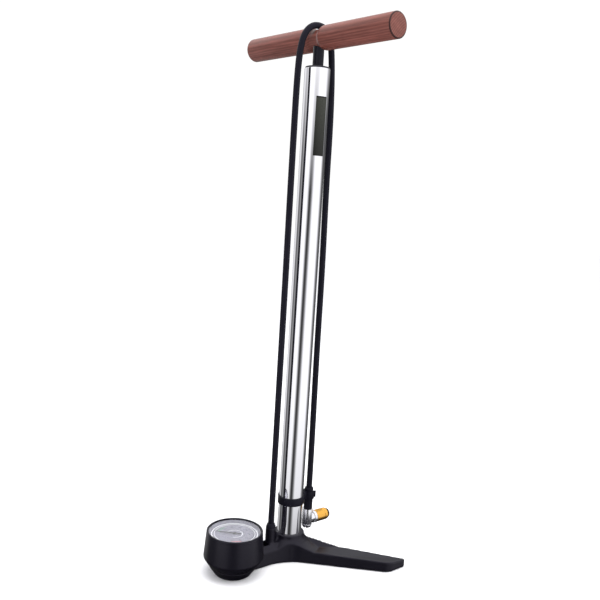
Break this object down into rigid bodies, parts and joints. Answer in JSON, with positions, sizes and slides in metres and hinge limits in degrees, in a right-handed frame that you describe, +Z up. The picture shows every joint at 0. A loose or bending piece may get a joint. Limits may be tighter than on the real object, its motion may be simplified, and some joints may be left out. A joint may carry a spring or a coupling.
{
  "type": "floor bike pump",
  "caption": "Three-toed floor pump with steel barrel, wooden cross handle, dial gauge, parked hose and screw-down valve head.",
  "frame": {"origin": "on the floor under the barrel's axis, at the centre of the hub's rubber foot", "axes": "+Z up along the barrel; -Y towards the gauge; the handle lies within 2.4 degrees of X"},
  "size_m": [0.255, 0.2355, 0.685],
  "materials": {
    "stand_black": "satin black paint",
    "pad_rubber": "matte",
    "brass": "machined",
    "steel": "zinc plated",
    "barrel_chrome": "polished chrome plate",
    "seal_rubber": "matte",
    "cap_plastic": "satin",
    "bushing_plastic": "smooth",
    "label_film": "satin film, blank",
    "rod_black": "black oxide",
    "handle_wood": "stained and satin lacquered",
    "gauge_plastic": "satin",
    "clear_glass": "clear",
    "dial_face": "matte print",
    "needle_paint": "matte",
    "hose_rubber": "satin",
    "clip_plastic": "satin",
    "head_chrome": "bright nickel plate",
    "sleeve_gold": "gold anodised, knurled"
  },
  "bodies": {
    "stand": {"barrel": "barrel_chrome", "barrel_gasket": "seal_rubber", "base_casting": "stand_black", "bourdon_tube": "brass", "bump_stop": "seal_rubber", "chuck_gasket": "seal_rubber", "chuck_stem": "head_chrome", "gasket_spacer": "bushing_plastic", "gauge_bezel": "gauge_plastic", "gauge_dial": "dial_face", "gauge_foot": "pad_rubber", "gauge_glass": "clear_glass", "gauge_movement": "brass", "gauge_screws": "steel", "gauge_shell": "gauge_plastic", "gauge_socket": "brass", "head_boot": "hose_rubber", "head_clip": "clip_plastic", "hose": "hose_rubber", "hose_boot": "hose_rubber", "hose_nipple": "brass", "hub_foot": "pad_rubber", "label_plate": "label_film", "leg_foot_left": "pad_rubber", "leg_foot_right": "pad_rubber", "rod_bushing": "bushing_plastic", "rod_wiper": "seal_rubber", "top_cap": "cap_plastic", "valve_body": "head_chrome", "valve_pin": "steel", "valve_seat": "brass", "valve_spring": "steel"},
    "piston": {"piston_head": "bushing_plastic", "guide_ring": "bushing_plastic", "piston_cup": "seal_rubber", "piston_washer": "steel"},
    "plunger": {"piston_rod": "rod_black", "piston_stud": "steel", "piston_nut": "steel", "rod_plug": "steel", "handle_grip": "handle_wood", "handle_bolt": "steel"},
    "needle": {"gauge_needle": "needle_paint", "gauge_spindle": "steel"},
    "check_ball": {"valve_ball": "steel"},
    "sleeve": {"chuck_sleeve": "sleeve_gold", "chuck_end_ring": "seal_rubber"},
    "pusher": {"chuck_pusher": "brass"},
    "core_tool": {"core_tool": "head_chrome"}
  },
  "joints": [
    {"name": "pump_stroke", "type": "slide", "parent": "stand", "child": "piston", "axis": [0, 0, 1], "range_m": [0, 0.56], "deforming": ["hose"]},
    {"name": "handle_turn", "type": "hinge", "parent": "piston", "child": "plunger", "pos_m": [0, 0, 0.665], "axis": [0, 0, 1], "range_deg": [-12, 12]},
    {"name": "needle_sweep", "type": "hinge", "parent": "stand", "child": "needle", "pos_m": [0, -0.0878, 0.049], "axis": [0, 0, -1], "range_deg": [0, 270], "stiffness_Nm_per_rad": 0.0002},
    {"name": "check_valve", "type": "slide", "parent": "stand", "child": "check_ball", "axis": [0, 0, -1], "range_m": [0, 0.0015], "stiffness_N_per_m": 60, "springref_m": -0.002, "deforming": ["valve_spring"]},
    {"name": "sleeve_turn", "type": "hinge", "parent": "stand", "child": "sleeve", "pos_m": [0, 0.055, 0.0433], "axis": [0, 1, 0], "range_deg": [0, 360]},
    {"name": "gasket_squeeze", "type": "slide", "parent": "stand", "child": "pusher", "axis": [0, -1, 0], "range_m": [0, 0.001]},
    {"name": "core_tool_turn", "type": "hinge", "parent": "stand", "child": "core_tool", "pos_m": [0, 0.0305, 0.033], "axis": [0, 0, -1], "range_deg": [0, 360]}
  ],
  "couplings": [
    {"joint": "gasket_squeeze", "follows": "sleeve_turn", "m_per_rad": 0.00015756}
  ]
}
